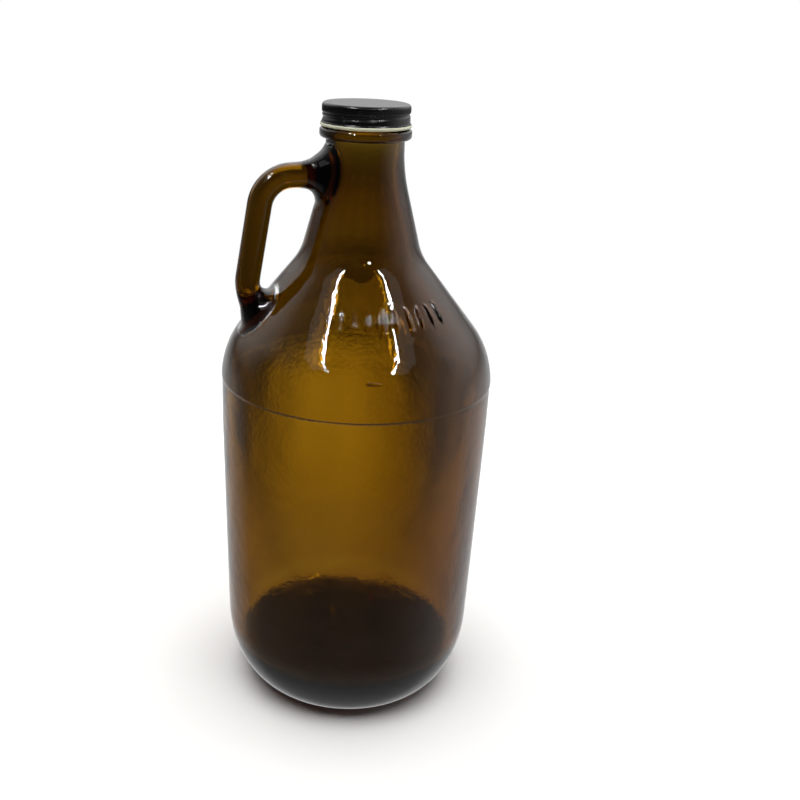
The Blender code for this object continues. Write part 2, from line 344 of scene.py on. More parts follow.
def studio_world():
    """Brightness by direction, from the table of lights above."""
    world = bpy.data.worlds.new("studio")
    bpy.context.scene.world = world
    world.use_nodes = True
    tree = world.node_tree
    tree.nodes.clear()
    place = add_node(tree, "ShaderNodeTexCoord")
    turned = add_node(
        tree,
        "ShaderNodeVectorRotate",
        {"Vector": place.outputs["Generated"], "Angle": -CAMERA_TURN},
        rotation_type="Z_AXIS",
    )
    way = add_node(tree, "ShaderNodeSeparateXYZ", {"Vector": turned.outputs["Vector"]})
    path = add_node(tree, "ShaderNodeLightPath")
    shine = add_node(
        tree,
        "ShaderNodeMath",
        {0: path.outputs["Is Glossy Ray"], 1: path.outputs["Is Transmission Ray"]},
        operation="SUBTRACT",
    )
    follows = {"away": way.outputs["Y"], "up": way.outputs["Z"], "shine": shine.outputs[0]}
    for side, end in (("right", 1), ("left", -1)):
        half = add_node(
            tree,
            "ShaderNodeMapRange",
            {"Value": way.outputs["X"], "From Min": 0, "From Max": end},
        )
        narrow = add_node(
            tree,
            "ShaderNodeMath",
            {0: half.outputs["Result"], 1: SIDE_NARROWING},
            operation="POWER",
        )
        follows[side] = narrow.outputs[0]
    total = DIM
    for ramps in STUDIO_LIGHTS.values():
        level = 1.0
        for value, low, high, at_low, at_high in ramps:
            ramp = add_node(
                tree,
                "ShaderNodeMapRange",
                {
                    "Value": follows[value],
                    "From Min": low,
                    "From Max": high,
                    "To Min": at_low,
                    "To Max": at_high,
                },
            )
            factors = {0: ramp.outputs["Result"], 1: level}
            level = add_node(tree, "ShaderNodeMath", factors, operation="MULTIPLY").outputs[0]
        total = add_node(tree, "ShaderNodeMath", {0: level, 1: total}).outputs[0]
    light = add_node(
        tree, "ShaderNodeBackground", {"Color": linear("ffffff"), "Strength": total}
    )
    backdrop = add_node(
        tree, "ShaderNodeBackground", {"Color": linear(BACKDROP), "Strength": 1.0}
    )
    mixed = add_node(tree, "ShaderNodeMixShader", {"Fac": path.outputs["Is Camera Ray"]})
    tree.links.new(light.outputs[0], mixed.inputs[1])
    tree.links.new(backdrop.outputs[0], mixed.inputs[2])
    output = add_node(tree, "ShaderNodeOutputWorld")
    tree.links.new(mixed.outputs[0], output.inputs["Surface"])


studio_world()
bpy.context.scene.view_settings.view_transform = "Standard"
print("soft lights:", ", ".join(STUDIO_LIGHTS))

# %% Lamps: a soft one above, two long narrow ones for the shoulder highlights, and their panels
OVERHEAD_HEIGHT, OVERHEAD_WIDTH, OVERHEAD_WATTS = 1.45, 1.8, 42
LAMP_HEIGHT = 1.25
STRIP_WIDTH, STRIP_WATTS = 0.036, 10
PANEL_WIDTH, PANEL_WATTS = 0.32, 0.35
WINDOW_WIDTH, WINDOW_WATTS, WINDOW_HEIGHT = 0.09, 5, 1.02


def area_lamp(name, start, end, width, watts, height):
    """A lamp of that width that faces down, between two points right of and beyond the bottle."""
    to_room = Matrix.Rotation(CAMERA_TURN, 3, "Z")
    start, end = (to_room @ Vector((*point, height)) for point in (start, end))
    data = bpy.data.lights.new(name, "AREA")
    data.shape = "RECTANGLE"
    data.size, data.size_y = width, (end - start).length
    data.energy = watts
    lamp = bpy.data.objects.new(name, data)
    bpy.context.scene.collection.objects.link(lamp)
    lamp.location = (start + end) / 2
    along = (end - start).normalized()
    lamp.rotation_euler.z = math.atan2(-along.x, along.y)
    lamp.visible_camera = False
    return lamp


overhead = area_lamp(
    "overhead_softbox", (0, -0.8), (0, 0.9), OVERHEAD_WIDTH, OVERHEAD_WATTS, OVERHEAD_HEIGHT
)
overhead.visible_glossy = False
strip = (STRIP_WIDTH, STRIP_WATTS, LAMP_HEIGHT)
panel = (PANEL_WIDTH, PANEL_WATTS, LAMP_HEIGHT)
window = (WINDOW_WIDTH, WINDOW_WATTS, WINDOW_HEIGHT)
for name, start, end, (width, watts, height) in (
    ("strip_left", (-0.50, -0.20), (-0.62, -1.00), strip),
    ("strip_right", (0.63, -0.15), (0.76, -1.00), strip),
    ("panel_left", (-0.71, -0.20), (-0.83, -1.00), panel),
    ("panel_right", (0.84, -0.15), (0.97, -1.00), panel),
    ("small_window", (0.39, -1.28), (0.39, -1.37), window),
):
    lamp = area_lamp(name, start, end, width, watts, height)
    lamp.visible_diffuse = False
    print(name, "at, mm:", [round(v / MM) for v in lamp.location])

# %% [markdown]
# ## Curves in section
#
# Most of a bottle is turned about one axis, so it starts as a line in section: straight lengths
# with each corner rounded to its own radius. The sizes are those of the part, in millimetres.
# The same two functions draw the outside and the space for the drink.


# %% Section lines
SAME_PLACE = 1e-6


def arc(centre, radii, start, end, steps):
    """Points on an ellipse about centre, from the start angle to the end angle."""
    angles = np.linspace(start, end, steps + 1)
    return [
        (centre[0] + radii[0] * math.cos(a), centre[1] + radii[1] * math.sin(a)) for a in angles
    ]


def rounded(corners, step=math.radians(3)):
    """The line through corners (x, z, radius), each inner one rounded to its own radius."""
    points = [tuple(corners[0][:2])]
    for before, (x, z, radius), after in zip(corners, corners[1:], corners[2:]):
        if not radius:
            points.append((x, z))
            continue
        corner = Vector((x, z))
        back = (Vector(before[:2]) - corner).normalized()
        ahead = (Vector(after[:2]) - corner).normalized()
        half = back.angle(ahead) / 2
        centre = corner + (back + ahead).normalized() * radius / math.sin(half)
        first = corner + back * radius / math.tan(half) - centre
        side = 1 if back.x * ahead.y - back.y * ahead.x < 0 else -1
        turn = side * (math.pi - 2 * half)
        start = math.atan2(first.y, first.x)
        steps = max(2, round(abs(turn) / step))
        points += arc(centre, (radius, radius), start, start + turn, steps)
    points.append(tuple(corners[-1][:2]))
    return points


def filled_in(points, longest):
    """The same line with points added where two are more than the longest step apart."""
    line = [np.array(points[0], float)]
    for point in points[1:]:
        point = np.array(point, float)
        gap = np.linalg.norm(point - line[-1])
        if gap < SAME_PLACE:
            continue
        pieces = max(1, math.ceil(gap / longest))
        start = line[-1]
        line += [start + (point - start) * k / pieces for k in range(1, pieces + 1)]
    return np.array(line)


def revolved(name, line, sides, shift=None):
    """A closed solid turned about Z. The line runs from the axis down its outer side to the axis.

    shift(radius, angle, height) may move each point: it returns new radii and heights.
    """
    angles = np.arange(sides) * math.tau / sides
    rings = line[1:-1]
    radius, angle = np.meshgrid(rings[:, 0], angles, indexing="ij")
    height = np.repeat(rings[:, 1:], sides, axis=1)
    if shift:
        radius, height = shift(radius, angle, height)
    points = np.stack([radius * np.cos(angle), radius * np.sin(angle), height], -1)
    points = points.reshape(-1, 3)
    count = len(rings)
    ends = np.array([[0, 0, line[0][1]], [0, 0, line[-1][1]]])
    index = np.arange(count * sides).reshape(count, sides)
    after = np.roll(index, -1, axis=1)
    faces = np.stack([index[:-1], index[1:], after[1:], after[:-1]], -1).reshape(-1, 4)
    top, bottom = len(points), len(points) + 1
    faces = faces.tolist()
    faces += [(top, index[0][k], after[0][k]) for k in range(sides)]
    faces += [(bottom, after[-1][k], index[-1][k]) for k in range(sides)]
    mesh = bpy.data.meshes.new(name)
    mesh.from_pydata(np.concatenate([points, ends]) * MM, [], faces)
    mesh.update()
    solid = bpy.data.objects.new(name, mesh)
    bpy.context.scene.collection.objects.link(solid)
    return solid


# %% [markdown]
# ## Blowing the bottle
#
# A real growler is blown in an iron mould. The mould gives the outside its exact shape, and the
# inside is left to the air, so it is never quite even. That is why the outside here follows its
# section exactly, and the inside has slow waves of a few tenths of a millimetre. The waves bend
# what is seen through the glass, and no bump map can stand in for them.

# %% The outside in section, millimetres
SIDES = 160
LIP_TOP, LIP_ROUND, FINISH_RADIUS, BORE_RADIUS = 267.6, 0.8, 16.2, 13.4
BEAD_TOP, BEAD_BOTTOM, BEAD_RADIUS, BEAD_ROUND = 260.2, 256.0, 19.15, 1.5
BODY_CORNERS = [
    (16.35, 255.4, 0),
    (16.4, 243.8, 70),
    (26.2, 207.4, 25),
    (60.3, 164.8, 38),
    (60.1, 132, 1500),
    (57.65, 36.3, 0),
]
BODY_WALL, HEEL_WIDTH = 4.7, 20.8
STAND_RING, DOME_RISE, FLOOR_HEIGHT, FLOOR_RISE = 3.5, 4.5, 16.0, 1.5
INSIDE_HEEL_WIDTH, INSIDE_HEEL_HEIGHT = 9.0, 12.0
NECK_RADIUS = BODY_CORNERS[0][0]
FINISH_FOOT_ROUND, BEAD_FOOT_ROUND = 0.5, 0.55
OUTSIDE_STEP, OUTSIDE_LONGEST, HEEL_STEPS = math.radians(4), 3.2, 24
# The panel's top edge: how far down from the crease, and how deep, for each point of its step
CREASE_HEIGHT, CREASE_DEPTH = 153.0, 0.32
CREASE_STEP = ((-0.35, 0), (-0.05, 0.08), (0.9, CREASE_DEPTH), (2, CREASE_DEPTH))
CREASE_END = 3
PANEL_BOTTOM, PANEL_LEAST_RADIUS = 60, 50
CHOKE_HEIGHT, CHOKE_DEPTH, CHOKE_REACH = 238, 1.1, 14
STIPPLE_DEPTH, STIPPLE_REACH, STIPPLE_INSET, STIPPLE_TOP = 0.35, 5.5, 1.0, 1.2


def dome(radius, height, rise, steps=10):
    """A shallow round dome in section, from its rim in to the axis."""
    sphere = (radius**2 + rise**2) / (2 * rise)
    half = math.asin(radius / sphere)
    line = arc((0, height + rise - sphere), (sphere, sphere), math.pi / 2 - half, math.pi / 2, steps)
    return line[:-1] + [(0, height + rise)]


def outside_line():
    """From the axis at the lip, over the body and the heel, to the middle of the base."""
    finish = [
        (0, LIP_TOP, 0),
        (FINISH_RADIUS, LIP_TOP, LIP_ROUND),
        (FINISH_RADIUS, BEAD_TOP, FINISH_FOOT_ROUND),
        (BEAD_RADIUS, BEAD_TOP, BEAD_ROUND),
        (BEAD_RADIUS, BEAD_BOTTOM, BEAD_ROUND),
        (NECK_RADIUS, BEAD_BOTTOM, BEAD_FOOT_ROUND),
    ]
    upper = filled_in(rounded(finish + BODY_CORNERS[1:], OUTSIDE_STEP), OUTSIDE_LONGEST)
    heel_radius, heel_top, _ = BODY_CORNERS[-1]
    stand = heel_radius - HEEL_WIDTH
    heel = arc((stand, heel_top), (HEEL_WIDTH, heel_top), 0, -math.pi / 2, HEEL_STEPS)
    line = np.concatenate([upper, heel[1:], dome(stand - STAND_RING, 0, DOME_RISE)])
    return creased(line)


def creased(line):
    """The line with the label panel's top edge: a step in, which fades out further down."""
    body = line[:, 0] > PANEL_LEAST_RADIUS
    k = int(np.argmax((line[:, 1] < CREASE_HEIGHT) & body))
    above, below = line[k - 1], line[k]
    share = (above[1] - CREASE_HEIGHT) / (above[1] - below[1])
    edge = above + (below - above) * share
    panel = line.copy()
    rise = (line[:, 1] - PANEL_BOTTOM) / (CREASE_HEIGHT - PANEL_BOTTOM)
    depth = CREASE_DEPTH * np.clip(rise, 0, 1)
    depth *= body & (line[:, 1] < CREASE_HEIGHT)
    panel[:, 0] -= depth
    step = np.array([edge - [inwards, down] for down, inwards in CREASE_STEP])
    below_step = k + int(np.argmax(line[k:, 1] < edge[1] - CREASE_END))
    return np.concatenate([line[:k], step, panel[below_step:]])


def stippled(radius, angle, height):
    """Short ridges all round the ring that the bottle stands on, as real ones have for grip."""
    stand = BODY_CORNERS[-1][0] - HEEL_WIDTH
    reach = np.abs(radius - stand + STIPPLE_INSET) / STIPPLE_REACH
    near = np.clip(1 - reach, 0, 1) * (height < STIPPLE_TOP)
    every_other = np.round(angle / (math.tau / SIDES)).astype(int) % 2
    return radius, height + STIPPLE_DEPTH * every_other * np.sqrt(near)


outside = outside_line()
body_blank = revolved("body_blank", outside, SIDES, stippled)
print("outside rings:", len(outside), "faces:", len(body_blank.data.polygons))

# %% The space inside, with the slow waves that blowing leaves
INSIDE_SIDES, INSIDE_LONGEST, INSIDE_HEEL_STEPS = 128, 3.0, 20
MOUTH_EXTRA, MOUTH_HEIGHT, MOUTH_START, MOUTH_END, MOUTH_ROUND = 1.6, 3, 0.8, 1.0, 1.2
INSIDE_TAPER = 0.5
WAVE_HEIGHT, WAVE_LENGTH, WAVE_STRETCH = 0.17, 24.0, 0.7
WAVE_ROUGHNESS, WAVE_GAP, WAVE_OCTAVES = 0.9, 2.1, 3
CALM_ABOVE, CALM_FADE, CALM_RADIUS = 235, 25, 12
OFF_CENTRE = 0.6
THIN_SIDE = CAMERA_TURN + math.pi
BORE_LEAST_RADIUS = 10


def moved_in(corners, wall):
    """Corners moved inwards by a wall's thickness, with each rounding changed to suit."""
    lines = []
    for (x0, z0, _), (x1, z1, _) in zip(corners, corners[1:]):
        along = Vector((x1 - x0, z1 - z0)).normalized()
        depth = wall if lines else NECK_RADIUS - BORE_RADIUS
        lines.append((Vector((x0, z0)) + Vector((along.y, -along.x)) * depth, along))
    moved = [(*lines[0][0], 0)]
    for (point, along), (other, beside), corner in zip(lines, lines[1:], corners[1:]):
        across = along.x * beside.y - along.y * beside.x
        apart = other - point
        reach = (apart.x * beside.y - apart.y * beside.x) / across
        moved.append((*(point + along * reach), corner[2] + math.copysign(wall, across)))
    point, along = lines[-1]
    return moved + [(*(Vector(corners[-1][:2]) + Vector((along.y, -along.x)) * wall), 0)]


def inside_line():
    """From above the lip, down the bore and the walls, to the middle of the floor."""
    mouth = [
        (0, LIP_TOP + MOUTH_HEIGHT, 0),
        (BORE_RADIUS + MOUTH_EXTRA, LIP_TOP + MOUTH_HEIGHT, 0),
        (BORE_RADIUS + MOUTH_EXTRA, LIP_TOP + MOUTH_START, 0),
        (BORE_RADIUS, LIP_TOP - MOUTH_END, MOUTH_ROUND),
    ]
    line = rounded(mouth + moved_in(BODY_CORNERS, BODY_WALL)[1:], OUTSIDE_STEP)
    end = (line[-1][0] - INSIDE_TAPER, FLOOR_HEIGHT + INSIDE_HEEL_HEIGHT)
    centre = (end[0] - INSIDE_HEEL_WIDTH, end[1])
    radii = (INSIDE_HEEL_WIDTH, INSIDE_HEEL_HEIGHT)
    heel = arc(centre, radii, 0, -math.pi / 2, INSIDE_HEEL_STEPS)
    upper = filled_in(line + [end], INSIDE_LONGEST)
    return np.concatenate([upper, heel[1:], dome(centre[0], FLOOR_HEIGHT, FLOOR_RISE)[1:]])


def wavy(radius, angle, height):
    """Slow waves below the neck's middle, a thinner side, and a slight choke in the bore."""
    calm = np.clip((CALM_ABOVE - height) / CALM_FADE, 0, 1) * np.clip(radius / CALM_RADIUS, 0, 1)
    waves = np.empty_like(radius)
    for spot in np.ndindex(radius.shape):
        r, a, z = radius[spot], angle[spot], height[spot]
        place = Vector((r * math.cos(a), r * math.sin(a), z * WAVE_STRETCH)) / WAVE_LENGTH
        waves[spot] = noise.fractal(place, WAVE_ROUGHNESS, WAVE_GAP, WAVE_OCTAVES)
    lean = OFF_CENTRE * np.cos(angle - THIN_SIDE)
    choke = CHOKE_DEPTH * np.exp(-(((height - CHOKE_HEIGHT) / CHOKE_REACH) ** 2))
    choke *= radius > BORE_LEAST_RADIUS
    return radius + (WAVE_HEIGHT * waves + lean) * calm - choke, height


inside_blank = revolved("inside_blank", inside_line(), INSIDE_SIDES, wavy)
print("inside faces:", len(inside_blank.data.polygons))

# %% [markdown]
# ## The handle
#
# The handle is pressed in the same mould, so it flows out of the neck and the shoulder with soft
# fillets, and no bevel makes those on two curved shapes. Here each shape is a distance, a number
# for how far a point is outside it, and the two distances are blended with a smooth minimum. A
# voxel remesh gives the faces, and each point is then pulled onto the exact blended surface.

# %% The handle's centre line
HANDLE_RADIUS = 5.25
HANDLE_CORNERS = [
    (-9.0, 241.6, 0),
    (-42.2, 240.4, 14),
    (-49.8, 193.5, 14),
    (-37.0, 172.5, 0),
]
FLARE_LENGTH, NECK_FLARE, SHOULDER_FLARE = 13.0, 1.65, 1.6
NECK_DEPTH, SHOULDER_DEPTH = 7.4, 13.0
HANDLE_STEP = 1.2
FILLET = 6.5
# The heights between which the handle can touch the body
HANDLE_ZONE = (120, 257)


def handle_line():
    """Points along the handle's centre line, and the handle's radius at each."""
    line = filled_in(rounded(HANDLE_CORNERS), HANDLE_STEP)
    along = np.concatenate([[0], np.cumsum(np.linalg.norm(np.diff(line, axis=0), axis=1))])
    neck = np.clip(1 - np.clip(along - NECK_DEPTH, 0, None) / FLARE_LENGTH, 0, 1)
    to_end = along[-1] - along
    shoulder = np.clip(1 - np.clip(to_end - SHOULDER_DEPTH, 0, None) / FLARE_LENGTH, 0, 1)
    flare = 1 + (NECK_FLARE - 1) * neck**2 + (SHOULDER_FLARE - 1) * shoulder**2
    places = np.stack([line[:, 0], 0 * along, line[:, 1]], -1)
    return places, HANDLE_RADIUS * flare


handle_places, handle_radii = handle_line()


def to_lines(points, starts, ends, first, last):
    """Each point's distance to the nearest of some lengths, less the radius found there."""
    best = np.full(len(points), np.inf)
    for a, b, ra, rb in zip(starts, ends, first, last):
        along = b - a
        share = np.clip((points - a) @ along / (along @ along), 0, 1)
        gap = np.linalg.norm(points - a - share[:, None] * along, axis=1)
        best = np.minimum(best, gap - ra - (rb - ra) * share)
    return best


body_part = outside[(outside[:, 1] > HANDLE_ZONE[0]) & (outside[:, 1] < HANDLE_ZONE[1])]


def body_distance(points):
    """How far outside the turned body each point is, negative within it."""
    flat = np.stack([np.hypot(points[:, 0], points[:, 1]), points[:, 2]], -1)
    zero = np.zeros(len(body_part) - 1)
    gap = to_lines(flat, body_part[:-1], body_part[1:], zero, zero)
    edge = np.interp(flat[:, 1], body_part[::-1, 1], body_part[::-1, 0])
    return np.where(flat[:, 0] > edge, gap, -gap)


def blended_distance(points, sink=0.0):
    """The smooth minimum of the body's distance and the handle's."""
    body = body_distance(points) + sink
    handle = to_lines(
        points, handle_places[:-1], handle_places[1:], handle_radii[:-1], handle_radii[1:]
    )
    close = np.clip(FILLET - np.abs(body - handle), 0, None)
    return np.minimum(body, handle) - close**2 / (4 * FILLET)


def slope(distance, points, step=0.05):
    """The direction in which a distance grows fastest at each point."""
    found = np.stack(
        [
            distance(points + step * np.eye(3)[k]) - distance(points - step * np.eye(3)[k])
            for k in range(3)
        ],
        -1,
    )
    return found / (2 * step)


print("handle length, mm:", round(np.linalg.norm(np.diff(handle_places, axis=0), axis=1).sum(), 1))

# %% The handle's faces, from a voxel remesh pulled onto the blended surface
VOXEL = 1.0
SINK = 0.06
HANDLE_SIDES = 14
# The patch of the body that is remeshed with the handle: heights, angles, columns and depth
PATCH_HEIGHTS = (148, 254)
PATCH_ANGLES, PATCH_COLUMNS = (math.radians(118), math.radians(242)), 33
PATCH_DEPTH = 2.6
PULL_ROUNDS, PULL_REACH, LEAST_SLOPE = 6, 2.2, 0.2


def loft(shape, rings):
    """A closed skin through rings of points, with a flat face on each end."""
    made = [[shape.verts.new(point) for point in ring] for ring in rings]
    for ring, after in zip(made, made[1:]):
        for k in range(len(ring)):
            n = (k + 1) % len(ring)
            shape.faces.new((ring[k], ring[n], after[n], after[k]))
    shape.faces.new(made[0][::-1])
    shape.faces.new(made[-1])


def to_object(shape, name):
    """The bmesh as an object of that name, with its faces turned outwards."""
    bmesh.ops.recalc_face_normals(shape, faces=shape.faces)
    mesh = bpy.data.meshes.new(name)
    shape.to_mesh(mesh)
    shape.free()
    thing = bpy.data.objects.new(name, mesh)
    bpy.context.scene.collection.objects.link(thing)
    return thing


def joined_to_body():
    """The handle with a thin patch of the body round each end, just under the body's surface."""
    turn = np.arange(HANDLE_SIDES) * math.tau / HANDLE_SIDES
    along = np.gradient(handle_places, axis=0)
    along /= np.linalg.norm(along, axis=1)[:, None]
    across = np.cross(along, [0, 1, 0])
    circle = across[:, None] * np.cos(turn)[None, :, None]
    circle = circle + np.array([0, 1, 0]) * np.sin(turn)[None, :, None]
    rings = handle_places[:, None] + handle_radii[:, None, None] * circle
    shape = bmesh.new()
    loft(shape, rings.tolist())
    low, high = PATCH_HEIGHTS
    outer = body_part[(body_part[:, 1] > low) & (body_part[:, 1] < high)][::2]
    inner = outer - [PATCH_DEPTH, 0]
    section = np.concatenate([outer - [SINK, 0], inner[::-1]])
    angles = np.linspace(*PATCH_ANGLES, PATCH_COLUMNS)
    loft(shape, [[(r * math.cos(a), r * math.sin(a), z) for r, z in section] for a in angles])
    blank = to_object(shape, "handle_blank")
    remesh = blank.modifiers.new("voxels", "REMESH")
    remesh.mode = "VOXEL"
    remesh.voxel_size = VOXEL
    settle(blank)
    points = coordinates(blank.data)
    for _ in range(PULL_ROUNDS):
        value = blended_distance(points, SINK)
        near = np.abs(value) < PULL_REACH * VOXEL
        toward = slope(lambda p: blended_distance(p, SINK), points[near])
        size = np.clip((toward**2).sum(1), LEAST_SLOPE, None)
        points[near] -= toward * (value[near] / size)[:, None]
    set_coordinates(blank.data, points * MM)
    return blank


def coordinates(mesh):
    """A mesh's points as an array."""
    flat = np.empty(len(mesh.vertices) * 3)
    mesh.vertices.foreach_get("co", flat)
    return flat.reshape(-1, 3)


def set_coordinates(mesh, points):
    """Puts an array back as a mesh's points."""
    mesh.vertices.foreach_set("co", np.ascontiguousarray(points, np.float32).ravel())
    mesh.update()


def settle(thing):
    """Makes an object's modifiers part of its mesh."""
    bpy.context.view_layer.update()
    graph = bpy.context.evaluated_depsgraph_get()
    mesh = bpy.data.meshes.new_from_object(thing.evaluated_get(graph))
    thing.modifiers.clear()
    thing.data = mesh


handle_blank = joined_to_body()
print("handle faces:", len(handle_blank.data.polygons))

# %% [markdown]
# ## Thread and raised marks
#
# The mouth carries one turn of a rounded screw thread, six turns to the inch. On the shoulder,
# where bottles carry raised marks from the mould, this one has a row of plain bars and one dash.
# All are laid out as tubes along a line, half sunk in the glass, and joined with a Boolean, so
# that light bends through them as through the rest of the bottle.


# %% Tubes sunk in the glass
def tube(name, places, radii, sides=10):
    """A closed round tube through places, in millimetres, with a radius at each."""
    places = np.array(places, float)
    along = np.gradient(places, axis=0)
    along /= np.linalg.norm(along, axis=1)[:, None]
    out = places * [1, 1, 0]
    across = np.cross(along, out)
    across /= np.linalg.norm(across, axis=1)[:, None]
    up = np.cross(across, along)
    turn = np.arange(sides) * math.tau / sides
    rings = []
    for place, a, u, radius in zip(places, across, up, radii):
        ring = place + radius * (np.cos(turn)[:, None] * a + np.sin(turn)[:, None] * u)
        rings.append((ring * MM).tolist())
    shape = bmesh.new()
    loft(shape, rings)
    return to_object(shape, name)


THREAD_PITCH = 25.4 / 6
THREAD_START, THREAD_TURNS, THREAD_LOW = math.radians(178), 1.0, 262.0
THREAD_TUBE, THREAD_CREST = 1.15, 17.25
THREAD_POINTS, THREAD_FADE, THREAD_SUNK = 97, 0.06, 0.9


def screw_thread():
    """One right-hand turn, fading into the glass at both ends."""
    share = np.linspace(0, 1, THREAD_POINTS)
    fade = np.sqrt(np.clip(np.minimum(share, 1 - share) / THREAD_FADE, 0, 1))
    radius = THREAD_CREST - THREAD_TUBE - THREAD_SUNK * (1 - fade)
    angle = THREAD_START + math.tau * THREAD_TURNS * share
    height = THREAD_LOW + THREAD_PITCH * THREAD_TURNS * share
    places = np.stack([radius * np.cos(angle), radius * np.sin(angle), height], -1)
    return tube("thread_blank", places, np.full(THREAD_POINTS, THREAD_TUBE))


# The bars' height, length and angles in degrees, and the dash's height and its two end angles.
# Angles are from straight towards the viewer, positive to the right.
BARS = (189.5, 7.0, range(-18, 55, 8))
DASH = (168.3, 4.0, 10.5)
BAR_RADIUS = 1.0
BAR_SINK = 0.12
BAR_ENDS = np.array([0.45, 0.85, 1, 1, 1, 0.85, 0.45])
LEAN_STEP = 0.5


def on_shoulder(angle, height):
    """A point on the body's outside, and the direction straight out of the glass there."""
    line = body_part[::-1]
    radius = np.interp(height, line[:, 1], line[:, 0])
    lean = np.interp(height + LEAN_STEP, line[:, 1], line[:, 0]) - radius
    turn = CAMERA_TURN - math.pi / 2 + math.radians(angle)
    round_about = np.array([math.cos(turn), math.sin(turn), 0])
    out = round_about - np.array([0, 0, lean / LEAN_STEP])
    return radius * round_about + [0, 0, height], out / np.linalg.norm(out)


def raised_marks():
    """Plain bars up the shoulder, and one dash below them."""
    marks = []
    height, length, angles = BARS
    for number, angle in enumerate(angles):
        places = []
        for share in np.linspace(-0.5, 0.5, len(BAR_ENDS)):
            point, out = on_shoulder(angle, height + length * share)
            places.append(point - out * BAR_SINK)
        marks.append(tube(f"bar_{number}", places, BAR_RADIUS * BAR_ENDS))
    height, start, end = DASH
    places = []
    for angle in np.linspace(start, end, len(BAR_ENDS)):
        point, out = on_shoulder(angle, height)
        places.append(point - out * BAR_SINK)
    marks.append(tube("dash", places, BAR_RADIUS * BAR_ENDS))
    return marks


# %% [markdown]
# ## One piece of glass
#
# Body, handle, thread and marks are joined, and the space inside is then taken out of all of them
# at once. The Manifold solver keeps the result closed, which glass needs: light has to know when it
# enters and when it leaves. Near the handle, the shading directions come from the blended
# distance, so that the join can't be seen.


# %% Join, hollow out and smooth
# Exact shading: the most x and the heights of the handle's side, and how near its surface
SHADE_MOST_X, SHADE_HEIGHTS, SHADE_REACH = -2, (146, 252), 0.45
LEAST_AGREEMENT = 0.5


def combine(target, others, operation):
    """Joins others to the target, or takes them away, and removes them from the scene."""
    for other in others:
        step = target.modifiers.new(other.name, "BOOLEAN")
        step.operation = operation
        step.solver = "MANIFOLD"
        step.object = other
    settle(target)
    for other in others:
        bpy.data.objects.remove(other, do_unlink=True)


def shade_from_distance(solid):
    """Smooth shading everywhere, with exact directions on the outside near the handle."""
    mesh = solid.data
    mesh.shade_smooth()
    directions = np.array([v.vector for v in mesh.vertex_normals])
    points = coordinates(mesh) / MM
    low, high = SHADE_HEIGHTS
    beside = (points[:, 0] < SHADE_MOST_X) & (points[:, 2] > low) & (points[:, 2] < high)
    beside &= np.abs(blended_distance(points)) < SHADE_REACH
    exact = slope(blended_distance, points[beside])
    exact /= np.linalg.norm(exact, axis=1)[:, None]
    agrees = (exact * directions[beside]).sum(1) > LEAST_AGREEMENT
    chosen = np.flatnonzero(beside)[agrees]
    directions[chosen] = exact[agrees]
    mesh.normals_split_custom_set_from_vertices(directions.tolist())
    return len(chosen)


bottle = body_blank
combine(bottle, [handle_blank, screw_thread(), *raised_marks()], "UNION")
combine(bottle, [inside_blank], "DIFFERENCE")
bottle.name = bottle.data.name = "amber_bottle"
print("shaded from the distance:", shade_from_distance(bottle), "points")
bottle.data.calc_loop_triangles()
print("bottle triangles:", len(bottle.data.loop_triangles))

# %% [markdown]
# ## Amber glass
#
# Amber is soda-lime glass coloured by iron and sulphur, which take out blue first, then green. The
# colour is in the thickness and not on the surface: a thin wall is honey, two walls and a handle
# are nearly black. So the surface is clear, with the index of window glass, and an absorption
# volume gives the colour. The faint ripple, about a millimetre and a half across, and the slow
# swell under it are what a mould's iron leaves.

# %% Amber soda-lime glass, blown in an iron mould
GLASS_IOR = 1.52
AMBER = "e3d000"
AMBER_DENSITY = 620
RIPPLE, RIPPLE_DEPTH = 1.6 * MM, 0.03 * MM
SWELL, SWELL_DEPTH, SWELL_STRENGTH = 14 * MM, 0.3 * MM, 0.6


def amber_glass():
    """Clear glass with a rippled surface and an amber volume."""
    material, tree, output = new_material("amber_soda_lime_glass")
    place = add_node(tree, "ShaderNodeTexCoord")
    ripple = add_node(
        tree,
        "ShaderNodeTexNoise",
        {
            "Vector": place.outputs["Object"],
            "Scale": 1 / RIPPLE,
            "Detail": 0.0,
        },
    )
    slow = add_node(
        tree,
        "ShaderNodeTexNoise",
        {"Vector": place.outputs["Object"], "Scale": 1 / SWELL, "Detail": 1.0},
    )
    bump = add_node(
        tree,
        "ShaderNodeBump",
        {"Height": ripple.outputs["Fac"], "Strength": 1.0, "Distance": RIPPLE_DEPTH},
    )
    bump_slow = add_node(
        tree,
        "ShaderNodeBump",
        {
            "Height": slow.outputs["Fac"],
            "Strength": SWELL_STRENGTH,
            "Distance": SWELL_DEPTH,
            "Normal": bump.outputs["Normal"],
        },
    )
    glass = add_node(
        tree,
        "ShaderNodeBsdfPrincipled",
        {
            "Base Color": linear("ffffff"),
            "Roughness": 0.0,
            "IOR": GLASS_IOR,
            "Transmission Weight": 1.0,
            "Normal": bump_slow.outputs["Normal"],
        },
    )
    tint = add_node(
        tree,
        "ShaderNodeVolumeAbsorption",
        {"Color": linear(AMBER), "Density": AMBER_DENSITY},
    )
    tree.links.new(glass.outputs["BSDF"], output.inputs["Surface"])
    tree.links.new(tint.outputs["Volume"], output.inputs["Volume"])
    return material


bottle.data.materials.clear()
bottle.data.materials.append(amber_glass())
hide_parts("glass_bottle")
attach(bottle, "bottle")
print("bottle, mm:", np.round(np.ptp(coordinates(bottle.data), axis=0) / MM, 1))

